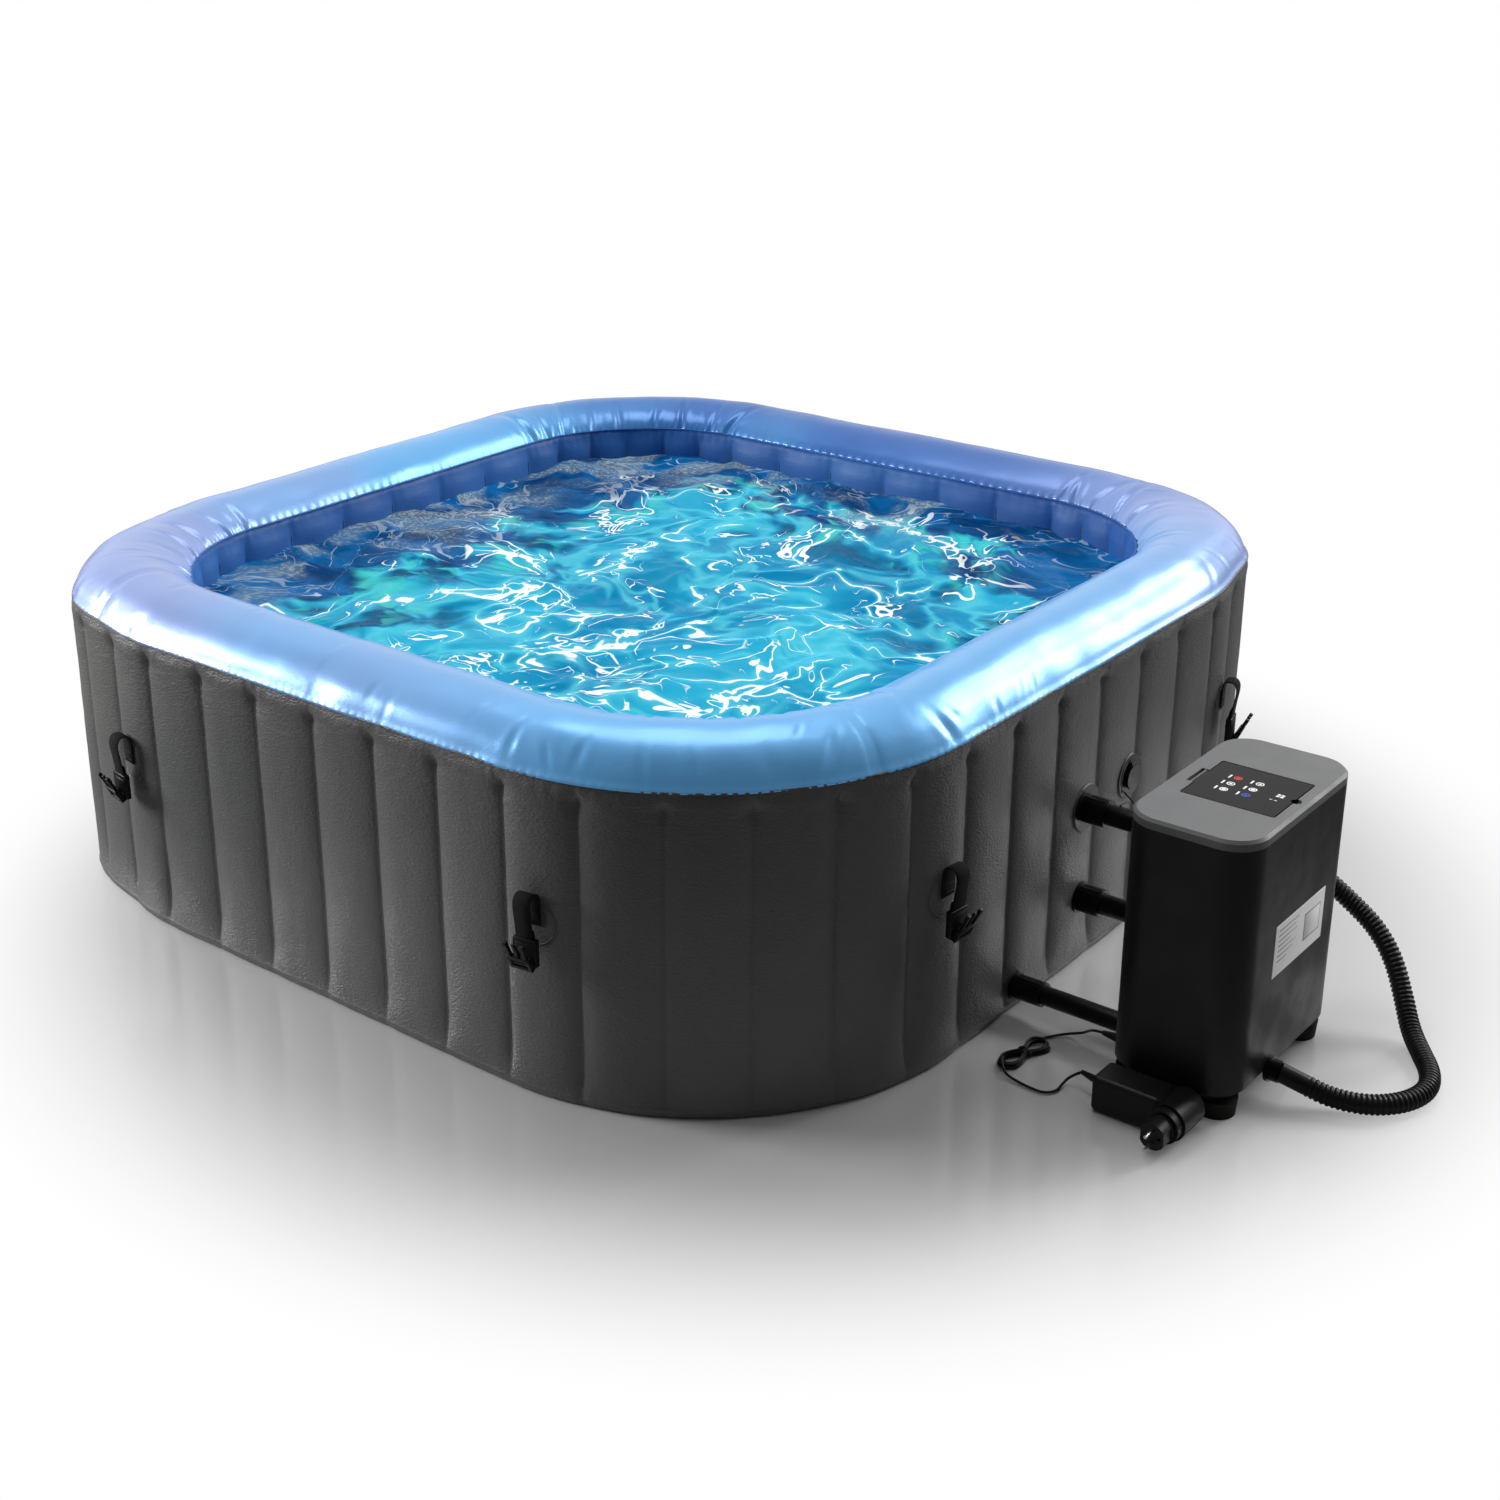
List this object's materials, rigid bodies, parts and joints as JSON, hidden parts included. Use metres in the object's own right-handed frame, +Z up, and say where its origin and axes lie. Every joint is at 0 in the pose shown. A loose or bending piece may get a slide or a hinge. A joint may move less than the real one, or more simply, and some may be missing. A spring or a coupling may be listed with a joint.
{
  "type": "inflatable hot tub",
  "caption": "Square inflatable hot tub with a channelled air-chamber wall, padded rim, side pump unit with flip cover, air hose and mains lead.",
  "frame": {"origin": "middle of the tub's underside, on the ground", "axes": "+Z up, +X from the tub towards its pump unit, +Y along the side that the ports are in"},
  "size_m": [2.1867, 1.67, 0.5299],
  "materials": {
    "wall_vinyl": "laminated vinyl with a fine leather grain, semi-matt",
    "rim_vinyl": "pearly blue vinyl, satin gloss",
    "basin_vinyl": "deep blue vinyl, satin gloss",
    "base_vinyl": "thick ground sheet, matt",
    "fitting_black": "moulded black plastic, satin",
    "fitting_grey": "moulded grey plastic",
    "seal_rubber": "soft black rubber",
    "filter_paper": "pleated filter paper",
    "case_black": "moulded near-black plastic, fine texture",
    "lid_grey": "moulded mid-grey plastic, fine texture",
    "cover_gloss": "polished black plastic",
    "key_plastic": "polished dark keys",
    "pin_steel": "plain steel",
    "rotor_plastic": "moulded pale plastic",
    "board_green": "lacquered circuit board",
    "hose_vinyl": "flexible black hose, satin",
    "cable_rubber": "black cable sheath",
    "plug_plastic": "moulded black plastic, satin",
    "tether_vinyl": "soft black cord",
    "webbing": "woven black webbing with moulded buckles",
    "label_pale": "blank printed film, satin",
    "water": "clear water, gently rippled"
  },
  "bodies": {
    "tub": {"outer_wall": "wall_vinyl", "strap_patches": "wall_vinyl", "internal_webs": "wall_vinyl", "seam_welds": "wall_vinyl", "rim": "rim_vinyl", "inner_wall": "basin_vinyl", "floor_liner": "basin_vinyl", "bubble_ring": "basin_vinyl", "base_sheet": "base_vinyl", "wall_ports": "fitting_black", "connecting_pipes": "fitting_black", "air_valve": "fitting_black", "drain_valve": "fitting_black", "hose_fittings": "fitting_black", "filter_housing": "fitting_grey", "return_grille": "fitting_grey", "port_seals": "seal_rubber", "pump_feet": "seal_rubber", "filter_cartridge": "filter_paper", "pump_case": "case_black", "pump_base": "case_black", "water_pump": "case_black", "air_blower": "case_black", "pump_lid": "lid_grey", "control_panel": "cover_gloss", "cover_pin": "pin_steel", "heater": "pin_steel", "plug_pins": "pin_steel", "control_board": "board_green", "air_hose": "hose_vinyl", "power_cable": "cable_rubber", "lead_to_adapter": "cable_rubber", "cable_hank": "cable_rubber", "cable_gland": "cable_rubber", "strain_relief": "cable_rubber", "adapter_body": "plug_plastic", "plug_head": "plug_plastic", "valve_tether": "tether_vinyl"},
    "cover": {"panel_cover": "cover_gloss"},
    "key_power": {"key_power": "key_plastic"},
    "key_heat": {"key_heat": "key_plastic"},
    "key_bubble": {"key_bubble": "key_plastic"},
    "key_filter": {"key_filter": "key_plastic"},
    "key_up": {"key_up": "key_plastic"},
    "key_down": {"key_down": "key_plastic"},
    "upper_nut": {"upper_nut": "fitting_black"},
    "middle_nut": {"middle_nut": "fitting_black"},
    "lower_nut": {"lower_nut": "fitting_black"},
    "valve_cap": {"air_valve_cap": "fitting_black"},
    "drain_cap": {"drain_cap": "fitting_black"},
    "impeller": {"impeller": "rotor_plastic"},
    "blower_fan": {"blower_fan": "rotor_plastic"},
    "strap_front_start": {"strap_front_start": "webbing"},
    "strap_front_end": {"strap_front_end": "webbing"},
    "strap_right_start": {"strap_right_start": "webbing"},
    "strap_right_end": {"strap_right_end": "webbing"},
    "strap_back_start": {"strap_back_start": "webbing"},
    "strap_back_end": {"strap_back_end": "webbing"},
    "strap_left_start": {"strap_left_start": "webbing"},
    "strap_left_end": {"strap_left_end": "webbing"}
  },
  "joints": [
    {"name": "cover_hinge", "type": "hinge", "parent": "tub", "child": "cover", "pos_m": [1.007, -0.126, 0.4006], "axis": [0, -1, 0], "range_deg": [0, 110]},
    {"name": "key_power_press", "type": "slide", "parent": "tub", "child": "key_power", "axis": [0, 0, -1], "range_m": [0, 0.0005], "stiffness_N_per_m": 1000, "springref_m": -0.0002},
    {"name": "key_heat_press", "type": "slide", "parent": "tub", "child": "key_heat", "axis": [0, 0, -1], "range_m": [0, 0.0005], "stiffness_N_per_m": 1000, "springref_m": -0.0002},
    {"name": "key_bubble_press", "type": "slide", "parent": "tub", "child": "key_bubble", "axis": [0, 0, -1], "range_m": [0, 0.0005], "stiffness_N_per_m": 1000, "springref_m": -0.0002},
    {"name": "key_filter_press", "type": "slide", "parent": "tub", "child": "key_filter", "axis": [0, 0, -1], "range_m": [0, 0.0005], "stiffness_N_per_m": 1000, "springref_m": -0.0002},
    {"name": "key_up_press", "type": "slide", "parent": "tub", "child": "key_up", "axis": [0, 0, -1], "range_m": [0, 0.0005], "stiffness_N_per_m": 1000, "springref_m": -0.0002},
    {"name": "key_down_press", "type": "slide", "parent": "tub", "child": "key_down", "axis": [0, 0, -1], "range_m": [0, 0.0005], "stiffness_N_per_m": 1000, "springref_m": -0.0002},
    {"name": "upper_nut_turn", "type": "hinge", "parent": "tub", "child": "upper_nut", "pos_m": [0.81, -0.014, 0.252], "axis": [1, 0, 0], "continuous": true},
    {"name": "middle_nut_turn", "type": "hinge", "parent": "tub", "child": "middle_nut", "pos_m": [0.81, -0.014, 0.108], "axis": [1, 0, 0], "continuous": true},
    {"name": "lower_nut_turn", "type": "hinge", "parent": "tub", "child": "lower_nut", "pos_m": [0.81, -0.19, 0.038], "axis": [1, 0, 0], "continuous": true},
    {"name": "valve_cap_hinge", "type": "hinge", "parent": "tub", "child": "valve_cap", "pos_m": [0.7935, 0.118, 0.28], "axis": [0, -1, 0], "range_deg": [0, 120]},
    {"name": "drain_cap_turn", "type": "hinge", "parent": "tub", "child": "drain_cap", "pos_m": [-0.798, 0, 0.062], "axis": [-1, 0, 0], "continuous": true},
    {"name": "impeller_spin", "type": "hinge", "parent": "tub", "child": "impeller", "pos_m": [1.071, -0.204, 0.1], "axis": [0, 0, 1], "continuous": true},
    {"name": "blower_spin", "type": "hinge", "parent": "tub", "child": "blower_fan", "pos_m": [1.071, -0.066, 0.3], "axis": [0, 0, 1], "continuous": true},
    {"name": "strap_front_start_swing", "type": "hinge", "parent": "tub", "child": "strap_front_start", "pos_m": [-0.42568, -0.78385, 0.3], "axis": [-0.9835, 0.1808, 0], "range_deg": [0, 45]},
    {"name": "strap_front_end_swing", "type": "hinge", "parent": "tub", "child": "strap_front_end", "pos_m": [0.41068, -0.78634, 0.3], "axis": [-0.9891, -0.1472, 0], "range_deg": [0, 45]},
    {"name": "strap_right_start_swing", "type": "hinge", "parent": "tub", "child": "strap_right_start", "pos_m": [0.78936, -0.38551, 0.3], "axis": [-0.0908, -0.9959, 0], "range_deg": [0, 45]},
    {"name": "strap_right_end_swing", "type": "hinge", "parent": "tub", "child": "strap_right_end", "pos_m": [0.77973, 0.44554, 0.3], "axis": [0.2253, -0.9743, 0], "range_deg": [0, 45]},
    {"name": "strap_back_start_swing", "type": "hinge", "parent": "tub", "child": "strap_back_start", "pos_m": [0.42568, 0.78385, 0.3], "axis": [0.9835, -0.1808, 0], "range_deg": [0, 45]},
    {"name": "strap_back_end_swing", "type": "hinge", "parent": "tub", "child": "strap_back_end", "pos_m": [-0.41068, 0.78634, 0.3], "axis": [0.9891, 0.1472, 0], "range_deg": [0, 45]},
    {"name": "strap_left_start_swing", "type": "hinge", "parent": "tub", "child": "strap_left_start", "pos_m": [-0.78936, 0.38551, 0.3], "axis": [0.0908, 0.9959, 0], "range_deg": [0, 45]},
    {"name": "strap_left_end_swing", "type": "hinge", "parent": "tub", "child": "strap_left_end", "pos_m": [-0.77973, -0.44554, 0.3], "axis": [-0.2253, 0.9743, 0], "range_deg": [0, 45]}
  ]
}
